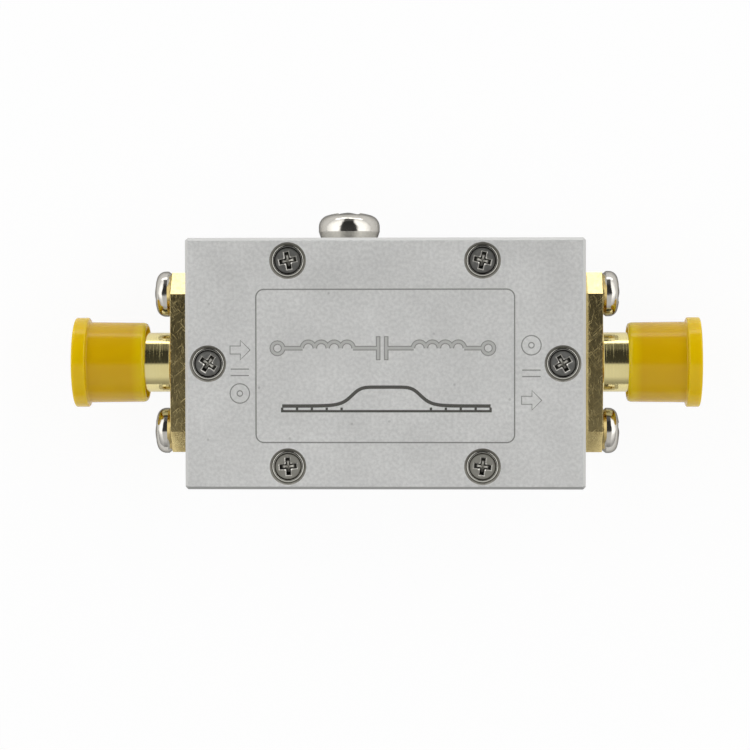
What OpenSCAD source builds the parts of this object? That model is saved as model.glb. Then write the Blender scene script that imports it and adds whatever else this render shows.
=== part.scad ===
// Bandpass filter in a small milled case, with a threaded coaxial jack at each end.
// X runs through the two jacks, with the input at -X. Y points to the side with the
// earth screw. Z = 0 is the flat back of the case, and the lid faces +Z. Millimetres.

/* [Case] */
// Length of the case between its two end faces
case_length = 35; // [34:0.5:42]
// Width of the case
case_width = 22; // [21.5:0.5:28]
// Height of the case with its lid on
case_height = 12; // [11.5:0.5:16]
// Thickness of the end walls, which carry the jacks
end_wall = 4; // [3.8:0.1:4.6]
// Thickness of the side walls
side_wall = 4.5; // [4.3:0.1:4.8]
// Radius that the cutter leaves in the corners of the pocket
pocket_corner = 2; // [1:0.25:2.5]
// Width of the bevel on the outer edges
edge_bevel = 0.25; // [0.1:0.05:0.5]

/* [Lid] */
// Thickness of the lid
lid_thickness = 1.5; // [1.3:0.1:1.8]
// Distance from the lid's edges to the screws
lid_screw_inset = 2; // [1.9:0.1:2.2]
// Distance along X between the screws on a long side
lid_screw_span = 17; // [13:0.5:22]
// Length of the engraved frame line
line_length = 22.7; // [18:0.1:25]
// Width of the engraved frame line's rectangle
line_width = 13.5; // [10:0.1:14]
// Corner radius of the engraved frame line
line_corner = 0.75; // [0.4:0.05:2]
// Breadth of the engraved line itself
line_breadth = 0.12; // [0.08:0.01:0.3]
// Depth of the engraved line
line_depth = 0.05; // [0.03:0.01:0.1]
// Place of the engraved frame off the middle of the lid, along X
line_shift_x = 0; // [-0.5:0.1:0.5]
// Place of the engraved frame off the middle of the lid, along Y
line_shift_y = -0.2; // [-0.3:0.1:0.3]

/* [Screws] */
// Thread diameter of the lid screws and board screws
small_screw = 1.6; // [1.4:0.1:1.8]
// Length of a lid screw with its countersunk head
lid_screw_length = 3; // [2.6:0.1:3.2]
// Diameter of a lid screw's head
lid_head = 2.85; // [2.7:0.05:3.1]
// Upright rim at the top of a countersunk head
lid_head_rim = 0.05; // [0.05:0.01:0.15]
// Depth of a countersunk head below the lid's face
lid_head_sink = 0.1; // [0:0.02:0.2]
// Thread diameter of the flange screws
flange_screw = 2; // [1.8:0.1:2.2]
// Length of a flange screw under its head
flange_screw_length = 4; // [3.5:0.1:4.5]
// Diameter of a flange screw's head
flange_head = 4.05; // [3.8:0.05:4.2]
// Height of a flange screw's head
flange_head_height = 1.6; // [1.4:0.05:1.8]
// Draw-in of a flange screw's head at its foot, in radius
flange_head_foot = 0.28; // [0.1:0.02:0.34]
// Thread diameter of the earth screw
earth_screw = 3; // [2.5:0.1:3.5]
// Length of the earth screw under its head
earth_screw_length = 4; // [3.5:0.1:4]
// Diameter of the earth screw's head
earth_head = 5.45; // [5.2:0.05:5.8]
// Height of the earth screw's head
earth_head_height = 2.4; // [2.1:0.05:2.6]
// Draw-in of the earth screw's head at its foot, in radius
earth_head_foot = 0.22; // [0.1:0.02:0.4]
// Place of the earth screw along X
earth_screw_x = -3.35; // [-5:0.05:5]
// Length of a board screw under its head
board_screw_length = 3; // [2.5:0.1:3.5]
// Diameter of a board screw's head
board_head = 3; // [2.8:0.05:3.1]
// Height of a board screw's head
board_head_height = 1.15; // [1:0.05:1.3]
// Draw-in of a board screw's head at its foot, in radius
board_head_foot = 0.12; // [0.06:0.02:0.24]
// Angle of the point that a drill leaves in a blind hole
drill_point = 118; // [110:1:140]
// Turn from each lid screw's cross recess to the next
recess_turn = 17; // [0:1:45]

/* [Jacks] */
// Length of the jack's flange across the case
flange_length = 16; // [15.8:0.1:16.4]
// Height of the jack's flange
flange_height = 5.7; // [5.4:0.1:6.4]
// Thickness of the jack's flange
flange_thickness = 1.65; // [1.5:0.05:1.9]
// Bevel across each corner of the flange
flange_bevel = 1.9; // [1.2:0.1:2.2]
// Distance between the two screws of a flange
flange_screw_span = 12.2; // [12:0.1:12.4]
// Diameter of the plain neck behind the thread
neck = 5.3; // [5.1:0.05:5.6]
// Length of the plain neck
neck_length = 2.8; // [2.2:0.05:3.3]
// Outer diameter of the jack's thread
jack_thread = 6.24; // [6.1:0.01:6.35]
// Bevel on both ends of the thread
thread_bevel = 0.3; // [0.15:0.05:0.4]
// Reach of the jack from the end face of the case
jack_reach = 9.5; // [9:0.1:10]
// Diameter of the recess in the jack's mouth
mouth = 4.6; // [4.55:0.01:4.7]
// Depth of the recess in the jack's mouth
mouth_depth = 1.93; // [1.8:0.01:2.2]
// Diameter of the white insulator
insulator = 4.1; // [3.9:0.05:4.3]
// Diameter of the centre contact
contact = 1.27; // [1.2:0.01:1.32]
// Diameter of the socket in the centre contact
socket = 0.94; // [0.88:0.01:0.98]
// Depth of the socket in the centre contact
socket_depth = 2.8; // [2.5:0.1:3.2]
// Breadth of the slots that part the socket into fingers
slot_breadth = 0.15; // [0.1:0.01:0.2]
// Length of the slots
slot_length = 2.2; // [1.8:0.1:2.4]
// Reach of the centre contact over the circuit board
contact_reach = 2; // [1.6:0.1:2.3]

/* [Dust caps] */
// Length of a dust cap
cap_length = 6.45; // [6:0.05:7]
// Outer diameter of a cap at its mouth
cap_mouth = 7.1; // [7.05:0.05:7.3]
// Outer diameter of a cap at its brim's root
cap_root = 7.2; // [7.1:0.05:7.6]
// Diameter of the brim
cap_brim = 8; // [7.8:0.05:8.6]
// Length of the brim
cap_brim_length = 1.25; // [1.1:0.05:1.8]
// Rounding of the brim's outer edge
cap_brim_round = 0.2; // [0.1:0.05:0.5]
// Thickness of a cap's closed end
cap_end = 0.8; // [0.6:0.05:1.1]
// Length of the rounding on the cap's lip
cap_lip_length = 0.45; // [0.3:0.05:0.9]
// Breadth of the rounding on the cap's lip
cap_lip_breadth = 0.15; // [0.1:0.01:0.2]
// Bevel inside the mouth of a cap, which leads it onto the jack
cap_lead = 0.1; // [0.05:0.01:0.15]
// Bevel in the corner inside the closed end of a cap
cap_corner = 0.2; // [0.1:0.05:0.3]
// Play between the jack's mouth and the end of the input cap
input_cap_play = 0.05; // [0.05:0.05:0.4]
// Play between the jack's mouth and the end of the output cap
output_cap_play = 0.05; // [0.05:0.05:0.4]

/* [Circuit board] */
// Thickness of the board
board_thickness = 0.8; // [0.6:0.1:1]
// Thickness of the copper on the board
copper = 0.07; // [0.05:0.01:0.1]
// Breadth of the signal tracks
track_breadth = 1.5; // [1.2:0.1:1.7]
// Gap between a signal track and the earthed copper
track_gap = 0.4; // [0.3:0.05:0.5]
// Distance from the end walls to the board screws
board_screw_inset_x = 2.2; // [2:0.1:2.6]
// Distance from the side walls to the board screws
board_screw_inset_y = 1.9; // [1.8:0.1:2.4]
// Diameter of a plated hole that ties the copper to the case
via = 0.5; // [0.3:0.05:0.6]
// Distance between the plated holes
via_pitch = 1.7; // [1.4:0.1:1.9]
// Distance from the package's middle to the first plated holes
via_start = 3.3; // [2.6:0.1:3.6]
// Breadth of the solder at the foot of a contact's tail
solder_breadth = 2.1; // [1.8:0.1:2.4]
// Thickness of the solder over a contact's tail
solder_cover = 0.15; // [0.08:0.01:0.25]

/* [Parts on the board] */
// Length and width of the filter's ceramic package
package_side = 3.8; // [3.4:0.1:4.2]
// Height of the ceramic package
package_height = 0.85; // [0.7:0.05:0.95]
// Rim of ceramic left round the package's metal cover
package_rim = 0.2; // [0.15:0.05:0.35]
// Thickness of the package's metal cover
cover_thickness = 0.2; // [0.1:0.05:0.25]
// Length of a track under the edge of the package
package_pad = 0.6; // [0.4:0.05:0.8]
// Length of a matching part
chip_length = 1.6; // [1.5:0.05:1.7]
// Breadth and height of a matching part
chip_side = 0.8; // [0.7:0.05:0.85]
// Length of the metal end on a matching part
chip_end = 0.3; // [0.2:0.05:0.4]
// Thickness of the metal end on a matching part
chip_end_skin = 0.03; // [0.02:0.01:0.05]
// Place of the series coil along X
coil_x = 6.4; // [5.8:0.1:6.8]
// Place of the inner capacitor along X
inner_capacitor_x = 4; // [3.4:0.1:4.3]
// Place of the outer capacitor along X
outer_capacitor_x = 8.8; // [8.5:0.1:9.5]
// Break in the track under the series coil
track_break = 0.8; // [0.6:0.05:1]

/* [Fits] */
// Radial clearance of a screw's thread in its tapped hole
thread_fit = 0.03; // [0.02:0.01:0.05]
// Radial clearance of a screw in a plain hole
screw_fit = 0.12; // [0.08:0.01:0.2]
// Clearance between a countersunk head and its seat
seat_fit = 0.03; // [0.02:0.01:0.05]
// Radial clearance round the insulator
insulator_fit = 0.03; // [0.02:0.01:0.05]
// Radial clearance round the centre contact
contact_fit = 0.02; // [0.01:0.01:0.03]
// Radial clearance of a dust cap over the thread
cap_fit = 0.08; // [0.05:0.01:0.1]
// Clearance of the board in its pocket
board_fit = 0.15; // [0.1:0.05:0.25]
// Room left under the tip of a screw
tip_room = 0.15; // [0.1:0.05:0.2]

/* [Hidden] */
$fn = 48;

// Levels along Z
body_top = case_height - lid_thickness;
axis_z = case_height / 2;
copper_top = axis_z - contact / 2;
board_top = copper_top - copper;
floor_z = board_top - board_thickness;

// Pocket and board in plan
pocket_length = case_length - 2 * end_wall;
pocket_width = case_width - 2 * side_wall;
board_length = pocket_length - 2 * board_fit;
board_width = pocket_width - 2 * board_fit;
board_corner = pocket_corner - board_fit;

// Places of the screws
long_side_y = case_width / 2 - lid_screw_inset;
short_side_x = case_length / 2 - lid_screw_inset;
lid_screw_places = [
    for (x = [-lid_screw_span / 2, lid_screw_span / 2], y = [-long_side_y, long_side_y]) [x, y],
    [-short_side_x, 0], [short_side_x, 0]];
board_screw_x = pocket_length / 2 - board_screw_inset_x;
board_screw_y = pocket_width / 2 - board_screw_inset_y;

// Jack, measured outward from the end face of the case
neck_end = flange_thickness + neck_length;
reference_plane = jack_reach - mouth_depth;
shell_bore = insulator + 2 * insulator_fit;
contact_tail = end_wall + contact_reach;

// Countersink in the lid
countersink = lid_head + 2 * (lid_head_rim + lid_head_sink + seat_fit);
plain_hole = small_screw + 2 * screw_fit;

// Tracks, measured from the middle of the board
track_start = board_length / 2;
track_end = package_side / 2 - package_pad;
capacitor_x = [inner_capacitor_x, outer_capacitor_x];
solder_length = contact_reach + solder_cover - board_fit;

// Share of a domed head's side, up from its foot, that draws in
foot_share = 0.6;

// Run of a cutting shape past the face that it opens
over = 1;

metal_grey = [0.74, 0.74, 0.73];
nickel = [0.62, 0.61, 0.58];
gold = [0.80, 0.68, 0.38];
cap_yellow = [0.86, 0.70, 0.05];

// Right-angled block on Z = 0 with bevelled edges: upright, bottom and top
module bevelled_block(length, width, height, bottom, top) {
    module outline(side) {
        polygon([[-side / 2 + bottom, 0], [side / 2 - bottom, 0], [side / 2, bottom],
            [side / 2, height - top], [side / 2 - top, height], [-side / 2 + top, height],
            [-side / 2, height - top], [-side / 2, bottom]]);
    }
    intersection() {
        linear_extrude(height) bevelled_plan(length, width, edge_bevel);
        rotate([90, 0, 0]) linear_extrude(width, center = true) outline(length);
        rotate([90, 0, 90]) linear_extrude(length, center = true) outline(width);
    }
}

// Rectangle with its corners cut at 45 degrees
module bevelled_plan(length, width, bevel) {
    x = length / 2;
    y = width / 2;
    polygon([[-x + bevel, -y], [x - bevel, -y], [x, -y + bevel], [x, y - bevel],
        [x - bevel, y], [-x + bevel, y], [-x, y - bevel], [-x, -y + bevel]]);
}

// Rectangle with round corners
module round_plan(length, width, radius) {
    square([length - 2 * radius, width], center = true);
    square([length, width - 2 * radius], center = true);
    for (x = [-1, 1], y = [-1, 1])
        translate([x * (length / 2 - radius), y * (width / 2 - radius)]) circle(radius);
}

// Tapped hole that goes down from Z = 0, with the drill's point below it if there is room
module tapped_hole(thread, depth, pointed = true) {
    radius = thread / 2 + thread_fit;
    translate([0, 0, -depth]) cylinder(h = depth + over, r = radius);
    if (pointed) translate([0, 0, -depth]) drill_tip(radius);
}

// Cone that a drill leaves below Z = 0
module drill_tip(radius) {
    length = radius / tan(drill_point / 2);
    translate([0, 0, -length]) cylinder(h = length, r1 = 0, r2 = radius);
}

// Cross recess that goes down from Z = 0, with wings that taper towards the tip
module cross_recess(span, wing, depth) {
    tip = span / 5;
    intersection() {
        translate([0, 0, -depth])
            cylinder(h = depth + over, r1 = tip, r2 = tip + (span / 2 - tip) * (depth + over) / depth);
        for (turn = [0, 90]) rotate(turn)
            translate([-span / 2, -wing / 2, -depth]) cube([span, wing, depth + over]);
    }
}

// Outline of a domed head: crown arc, shoulder arc that is tangent to it, and a side that
// draws in towards the foot
function head_outline(radius, height, crown, shoulder, foot) =
    let (centre = height - crown + sqrt(pow(crown - shoulder, 2) - pow(radius - shoulder, 2)),
        meet = asin((radius - shoulder) / (crown - shoulder)))
    concat(
        [[0, 0]],
        [for (i = [0:6]) let (a = meet * i / 6) [crown * sin(a), height - crown + crown * cos(a)]],
        [for (i = [1:6]) let (a = meet + (90 - meet) * i / 6)
            [radius - shoulder + shoulder * sin(a), centre + shoulder * cos(a)]],
        [[radius, centre * foot_share], [radius - foot, 0]]);

// Threaded shank with a bevelled tip, from Z = -length up to Z = top
module shank(thread, length, top) {
    tip = thread / 6;
    rotate_extrude() polygon([[0, -length], [thread / 2 - tip, -length], [thread / 2, -length + tip],
        [thread / 2, top], [0, top]]);
}

// Screw with a domed head. The head stands on Z = 0 and the shank goes down.
module domed_screw(thread, length, head, height, foot) {
    difference() {
        union() {
            rotate_extrude() polygon(head_outline(head / 2, height, head * 1.25, head / 5, foot));
            shank(thread, length, height / 4);
        }
        translate([0, 0, height]) cross_recess(head * 0.55, head * 0.12, height * 0.65);
    }
}

// Screw with a countersunk head. The top of the head lies on Z = 0.
module countersunk_screw(thread, length, head, rim) {
    difference() {
        union() {
            rotate_extrude() polygon([[0, -rim - head / 2], [head / 2, -rim], [head / 2, 0], [0, 0]]);
            shank(thread, length, -rim);
        }
        cross_recess(head * 0.58, head * 0.14, length * 0.3);
    }
}

// Moves a shape from Z-up at the origin to a jack's frame: side is -1 for input, 1 for output
module at_jack(side) {
    translate([side * case_length / 2, 0, axis_z]) rotate([0, side * 90, 0]) children();
}

module at_flange_screws(side) {
    for (y = [-1, 1])
        at_jack(side) translate([0, y * flange_screw_span / 2, 0]) children();
}

module at_lid_screws() {
    for (i = [0:len(lid_screw_places) - 1])
        translate([lid_screw_places[i][0], lid_screw_places[i][1], 0]) rotate(i * recess_turn)
            children();
}

module at_earth_screw() {
    translate([earth_screw_x, case_width / 2, axis_z]) rotate([-90, 0, 0]) children();
}

module at_board_screws() {
    for (x = [-1, 1], y = [-1, 1])
        translate([x * board_screw_x, y * board_screw_y, 0]) children();
}

module housing() {
    color(metal_grey) difference() {
        bevelled_block(case_length, case_width, body_top, edge_bevel, 0);
        translate([0, 0, floor_z]) linear_extrude(case_height)
            round_plan(pocket_length, pocket_width, pocket_corner);
        for (side = [-1, 1]) {
            at_jack(side) translate([0, 0, -end_wall - board_fit])
                cylinder(h = end_wall + board_fit + over, d = shell_bore);
            at_flange_screws(side)
                tapped_hole(flange_screw, flange_screw_length - flange_thickness + tip_room);
        }
        translate([0, 0, body_top]) at_lid_screws()
            tapped_hole(small_screw, lid_screw_length + lid_head_sink - lid_thickness + tip_room);
        at_earth_screw() tapped_hole(earth_screw, earth_screw_length + tip_room / 2, false);
        translate([0, 0, floor_z]) at_board_screws()
            tapped_hole(small_screw, board_screw_length - board_thickness - copper + tip_room);
    }
}

module lid() {
    color(metal_grey) difference() {
        translate([0, 0, body_top])
            bevelled_block(case_length, case_width, lid_thickness, 0, edge_bevel);
        at_lid_screws() {
            translate([0, 0, body_top - over])
                cylinder(h = lid_thickness + 2 * over, d = plain_hole);
            translate([0, 0, case_height - countersink / 2])
                cylinder(h = countersink / 2 + over, r1 = 0, r2 = countersink / 2 + over);
        }
        translate([line_shift_x, line_shift_y, case_height - line_depth])
            linear_extrude(over) difference() {
                round_plan(line_length, line_width, line_corner);
                round_plan(line_length - 2 * line_breadth, line_width - 2 * line_breadth,
                    line_corner - line_breadth);
            }
    }
}

module lid_screws() {
    color(nickel) translate([0, 0, case_height - lid_head_sink]) at_lid_screws()
        countersunk_screw(small_screw, lid_screw_length, lid_head, lid_head_rim);
}

module flange_screws(side) {
    color(nickel) at_flange_screws(side) translate([0, 0, flange_thickness])
        domed_screw(flange_screw, flange_screw_length, flange_head, flange_head_height,
            flange_head_foot);
}

module earth_screw() {
    color(nickel) at_earth_screw() rotate(recess_turn)
        domed_screw(earth_screw, earth_screw_length, earth_head, earth_head_height, earth_head_foot);
}

// Flange, neck and threaded barrel of a jack, turned and milled from one bar
module jack_shell() {
    difference() {
        union() {
            linear_extrude(flange_thickness)
                bevelled_plan(flange_height, flange_length, flange_bevel);
            cylinder(h = neck_end + thread_bevel, d = neck);
            rotate_extrude() polygon([[0, neck_end], [jack_thread / 2 - thread_bevel, neck_end],
                [jack_thread / 2, neck_end + thread_bevel], [jack_thread / 2, jack_reach - thread_bevel],
                [jack_thread / 2 - thread_bevel, jack_reach], [0, jack_reach]]);
        }
        translate([0, 0, -over]) cylinder(h = jack_reach + 2 * over, d = shell_bore);
        translate([0, 0, reference_plane]) cylinder(h = mouth_depth + over, d = mouth);
        for (y = [-1, 1])
            translate([0, y * flange_screw_span / 2, -over])
                cylinder(h = flange_thickness + 2 * over, d = flange_screw + 2 * screw_fit);
    }
}

// White sleeve that holds the contact in the middle of the shell
module jack_insulator() {
    difference() {
        translate([0, 0, -end_wall]) cylinder(h = end_wall + reference_plane, d = insulator);
        translate([0, 0, -end_wall - over])
            cylinder(h = end_wall + reference_plane + 2 * over, d = contact + 2 * contact_fit);
    }
}

// Contact with a sprung socket in front and a solid tail over the board
module jack_contact() {
    difference() {
        translate([0, 0, -contact_tail]) cylinder(h = contact_tail + reference_plane, d = contact);
        translate([0, 0, reference_plane - socket_depth]) {
            cylinder(h = socket_depth + over, d = socket);
            drill_tip(socket / 2);
        }
        for (turn = [45, 135]) rotate(turn)
            translate([-contact, -slot_breadth / 2, reference_plane - slot_length])
                cube([2 * contact, slot_breadth, slot_length + over]);
    }
}

// Soft push-on cap with its closed end outward. The lip lies on Z = 0.
module dust_cap() {
    bore = jack_thread / 2 + cap_fit;
    bottom = cap_length - cap_end;
    brim_start = cap_length - cap_brim_length;
    brim_bevel = cap_brim_round / 3;
    lip = [for (i = [0:3]) let (a = 30 * i)
        [cap_mouth / 2 - cap_lip_breadth * (1 - sin(a)), cap_lip_length * (1 - cos(a))]];
    brim = [for (i = [0:3]) let (a = 30 * i)
        [cap_brim / 2 - cap_brim_round * (1 - cos(a)), cap_length - cap_brim_round * (1 - sin(a))]];
    rotate_extrude() polygon(concat(
        [[0, bottom], [bore - cap_corner, bottom], [bore, bottom - cap_corner]],
        [[bore, cap_lead], [bore + cap_lead, 0]],
        lip,
        [[cap_root / 2, brim_start], [cap_brim / 2 - brim_bevel, brim_start]],
        [[cap_brim / 2, brim_start + brim_bevel]],
        brim,
        [[0, cap_length]]));
}

module at_cap(side, play) {
    at_jack(side) translate([0, 0, jack_reach + play + cap_end - cap_length]) children();
}

// Bare board with its screw holes and plated holes
module circuit_board() {
    color([0.10, 0.32, 0.18]) translate([0, 0, floor_z]) linear_extrude(board_thickness)
        difference() {
            round_plan(board_length, board_width, board_corner);
            board_holes();
        }
}

module board_holes() {
    at_board_screws() circle(d = plain_hole);
    for (side = [-1, 1], y = [-1, 1], i = [0:3])
        translate([side * (via_start + i * via_pitch),
            y * (track_breadth / 2 + track_gap + chip_length + via / 2)]) circle(d = via);
}

module earth_copper() {
    color(gold) translate([0, 0, board_top]) linear_extrude(copper) difference() {
        round_plan(board_length, board_width, board_corner);
        board_holes();
        for (side = [-1, 1])
            translate([side * (track_end - track_gap + board_length) - board_length,
                -track_breadth / 2 - track_gap])
                square([2 * board_length, track_breadth + 2 * track_gap]);
    }
}

// Signal track in two lengths, with a break under the series coil
module track(side) {
    color(gold) translate([0, 0, board_top]) linear_extrude(copper) mirror([side < 0 ? 1 : 0, 0]) {
        translate([track_end, -track_breadth / 2])
            square([coil_x - track_break / 2 - track_end, track_breadth]);
        translate([coil_x + track_break / 2, -track_breadth / 2])
            square([track_start - coil_x - track_break / 2, track_breadth]);
    }
}

// Ceramic package with a quarter-round notch down each corner
module filter_package() {
    notch = package_rim;
    color([0.25, 0.24, 0.23]) translate([0, 0, copper_top]) linear_extrude(package_height)
        difference() {
            square(package_side, center = true);
            for (x = [-1, 1], y = [-1, 1])
                translate([x * package_side / 2, y * package_side / 2]) circle(notch);
        }
}

module filter_cover() {
    side = package_side - 2 * package_rim;
    color([0.78, 0.72, 0.55]) translate([0, 0, copper_top + package_height])
        linear_extrude(cover_thickness) bevelled_plan(side, side, package_rim);
}

// Places of the matching parts: the coils lie along the track, the capacitors across its edge
module at_coils() {
    for (side = [-1, 1]) translate([side * coil_x, 0, copper_top]) children();
}

module at_capacitors() {
    for (side = [-1, 1], i = [0, 1])
        translate([side * capacitor_x[i], (2 * i - 1) * (track_breadth + track_gap) / 2, copper_top])
            rotate(90) children();
}

module chip_body() {
    core = chip_side - 2 * chip_end_skin;
    translate([-chip_length / 2 + chip_end_skin, -core / 2, chip_end_skin])
        cube([chip_length - 2 * chip_end_skin, core, core]);
}

module chip_end_pair() {
    difference() {
        for (x = [-chip_length / 2, chip_length / 2 - chip_end])
            translate([x, -chip_side / 2, 0]) cube([chip_end, chip_side, chip_side]);
        chip_body();
    }
}

module matching_coils() {
    color([0.20, 0.22, 0.24]) at_coils() chip_body();
}

module matching_capacitors() {
    color([0.62, 0.50, 0.36]) at_capacitors() chip_body();
}

module chip_ends() {
    color(nickel) {
        at_coils() chip_end_pair();
        at_capacitors() chip_end_pair();
    }
}

// Solder that wraps the tail of a contact and spreads onto the track
module solder_joint(side) {
    shoulder = contact / 2 + solder_cover;
    half = [[solder_breadth / 2, 0], [shoulder, contact / 3], [shoulder * 0.92, contact * 0.75],
        [shoulder * 0.5, contact + solder_cover]];
    color([0.72, 0.72, 0.74]) difference() {
        translate([side * (board_length - solder_length) / 2, 0, copper_top])
            rotate([90, 0, 90]) linear_extrude(solder_length, center = true)
                polygon(concat(half, [for (i = [3:-1:0]) [-half[i][0], half[i][1]]]));
        at_jack(side) translate([0, 0, -contact_tail])
            cylinder(h = contact_tail + over, d = contact + 2 * contact_fit);
    }
}

module board_screws() {
    color(nickel) translate([0, 0, copper_top]) at_board_screws()
        domed_screw(small_screw, board_screw_length, board_head, board_head_height, board_head_foot);
}

housing();
lid();
lid_screws();
earth_screw();
color(gold) at_jack(-1) jack_shell();  // input_jack_shell
color("white") at_jack(-1) jack_insulator();  // input_insulator
color(gold) at_jack(-1) jack_contact();  // input_contact
flange_screws(-1);  // input_flange_screws
color(cap_yellow) at_cap(-1, input_cap_play) dust_cap();  // input_dust_cap
color(gold) at_jack(1) jack_shell();  // output_jack_shell
color("white") at_jack(1) jack_insulator();  // output_insulator
color(gold) at_jack(1) jack_contact();  // output_contact
flange_screws(1);  // output_flange_screws
color(cap_yellow) at_cap(1, output_cap_play) dust_cap();  // output_dust_cap
circuit_board();
earth_copper();
track(-1);  // input_track
track(1);  // output_track
filter_package();
filter_cover();
matching_coils();
matching_capacitors();
chip_ends();
solder_joint(-1);  // input_solder_joint
solder_joint(1);  // output_solder_joint
board_screws();
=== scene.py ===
import math
from functools import partial
import bmesh
import bpy
from mathutils import Matrix, Vector


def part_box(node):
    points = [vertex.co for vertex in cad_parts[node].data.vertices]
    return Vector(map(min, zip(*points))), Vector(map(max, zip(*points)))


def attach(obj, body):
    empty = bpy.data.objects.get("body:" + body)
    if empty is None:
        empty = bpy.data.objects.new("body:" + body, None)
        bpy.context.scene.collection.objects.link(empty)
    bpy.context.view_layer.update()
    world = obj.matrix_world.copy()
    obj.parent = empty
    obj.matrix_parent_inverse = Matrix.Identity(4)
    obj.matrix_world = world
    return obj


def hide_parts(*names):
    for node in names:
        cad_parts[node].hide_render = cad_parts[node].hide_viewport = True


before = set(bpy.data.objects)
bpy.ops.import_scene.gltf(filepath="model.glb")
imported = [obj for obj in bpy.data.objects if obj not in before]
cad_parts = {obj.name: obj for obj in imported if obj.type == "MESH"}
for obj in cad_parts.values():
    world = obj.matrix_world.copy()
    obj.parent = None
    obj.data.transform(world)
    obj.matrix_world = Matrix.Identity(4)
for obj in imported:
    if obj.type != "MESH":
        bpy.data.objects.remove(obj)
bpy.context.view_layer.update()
print("frame loaded with", len(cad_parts), "nodes")

# Lengths below are in millimetres, and become metres when a mesh is put in place.
mm = 0.001
tiny = 1e-6                                # closer than this counts as touching
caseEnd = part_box("housing")[1].x / mm      # end faces of the case at +-X
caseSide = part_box("housing")[1].y / mm     # side face with the earth screw
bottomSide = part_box("housing")[0].y / mm   # side face without it
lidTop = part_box("lid")[1].z / mm
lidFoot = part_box("lid")[0].z / mm
axisHeight = lidTop / 2                    # height of the jacks' axis
capEnds = {-1: -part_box("input_dust_cap")[0].x / mm, 1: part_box("output_dust_cap")[1].x / mm}


def linear(hexColour):
    channels = [int(hexColour[i:i + 2], 16) / 255 for i in (1, 3, 5)]
    return tuple(c / 12.92 if c <= 0.04045 else ((c + 0.055) / 1.055) ** 2.4 for c in channels) + (1.0,)


# Gives each input a plain value or a link from a socket. For a node, its first live output is linked.
def feed(node, inputs):
    for socket, value in dict(inputs).items():
        if isinstance(value, bpy.types.Node):
            value = next(output for output in value.outputs if output.enabled)
        if isinstance(value, bpy.types.NodeSocket):
            node.id_data.links.new(value, node.inputs[socket])
        else:
            node.inputs[socket].default_value = value
    return node


# Adds a node with its settings and links
def addNode(tree, kind, inputs=(), **settings):
    node = tree.nodes.new(kind)
    for name, value in settings.items():
        setattr(node, name, value)
    return feed(node, inputs)


# Empties the node tree of a material or a world, and returns the way to add nodes to it
def emptied(owner):
    owner.use_nodes = True
    owner.node_tree.nodes.clear()
    return partial(addNode, owner.node_tree)


# A new material with its shader's plain values, the way to add nodes to it, and the socket of its coordinates
def startMaterial(name, values):
    material = bpy.data.materials.new(name)
    material.use_nodes = True
    feed(material.node_tree.nodes["Principled BSDF"], values)
    add = partial(addNode, material.node_tree)
    return material, add, add("ShaderNodeTexCoord").outputs["Object"]


# Links a material's colour and roughness, the relief of a height with its strength and its depth in millimetres,
# and any other input given by name
def endMaterial(material, colour, dull, height, strength, depth, others=()):
    bump = addNode(material.node_tree, "ShaderNodeBump",
                   {"Height": height, "Strength": strength, "Distance": depth * mm})
    inputs = {"Base Color": colour, "Roughness": dull, "Normal": bump, **dict(others)}
    feed(material.node_tree.nodes["Principled BSDF"], inputs)
    return material


# Scale of a texture whose features are this many millimetres apart
def spacing(millimetres):
    return 1 / (millimetres * mm)


# The two limits of a Map Range node that reads a length, given in millimetres
def between(first, last):
    return {1: first * mm, 2: last * mm}


def addObject(name, data):
    item = bpy.data.objects.new(name, data)
    bpy.context.scene.collection.objects.link(item)
    return item


# The mesh of a shape, with its faces turned outward
def meshOf(shape, name):
    bmesh.ops.recalc_face_normals(shape, faces=shape.faces)
    mesh = bpy.data.meshes.new(name)
    shape.to_mesh(mesh)
    shape.free()
    return mesh


# Rounds the corners of an open path. Each point is (x, y, radius).
def softCorners(points, steps=5):
    path = []
    for i, (x, y, radius) in enumerate(points):
        corner = Vector((x, y))
        if radius == 0 or i in (0, len(points) - 1):
            path.append(corner)
            continue
        back = (Vector(points[i - 1][:2]) - corner).normalized()
        on = (Vector(points[i + 1][:2]) - corner).normalized()
        half = back.angle(on) / 2
        centre = corner + (back + on).normalized() * radius / math.sin(half)
        first = corner + back * radius / math.tan(half) - centre
        last = corner + on * radius / math.tan(half) - centre
        sweep = first.angle_signed(last)
        for k in range(steps + 1):
            path.append(centre + Matrix.Rotation(-sweep * k / steps, 2) @ first)
    return [tuple(p) for p in path]


# Turns a profile of (radius, height) about Z. It closes at poles on the axis, or on itself.
def turned(profile, segments=96):
    shape = bmesh.new()
    rings = []
    for radius, height in profile:
        if radius < tiny:
            rings.append([shape.verts.new((0, 0, height))] * segments)
        else:
            rings.append([shape.verts.new((radius * math.cos(a), radius * math.sin(a), height))
                          for a in (2 * math.pi * k / segments for k in range(segments))])
    closed = profile[0][0] > tiny
    for i in range(len(rings) - (0 if closed else 1)):
        low, high = rings[i], rings[(i + 1) % len(rings)]
        for k in range(segments):
            corners = []
            for v in (low[k], low[(k + 1) % segments], high[(k + 1) % segments], high[k]):
                if v not in corners:
                    corners.append(v)
            if len(corners) > 2:
                shape.faces.new(corners)
    return meshOf(shape, "turned")


# The plain mesh that an object has once its modifiers are applied
def applied(mesh, *steps):
    carrier = addObject("carrier", mesh)
    for step in steps:
        step(carrier)
    bpy.context.view_layer.update()
    result = bpy.data.meshes.new_from_object(carrier.evaluated_get(bpy.context.evaluated_depsgraph_get()))
    bpy.data.objects.remove(carrier)
    return result


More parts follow.
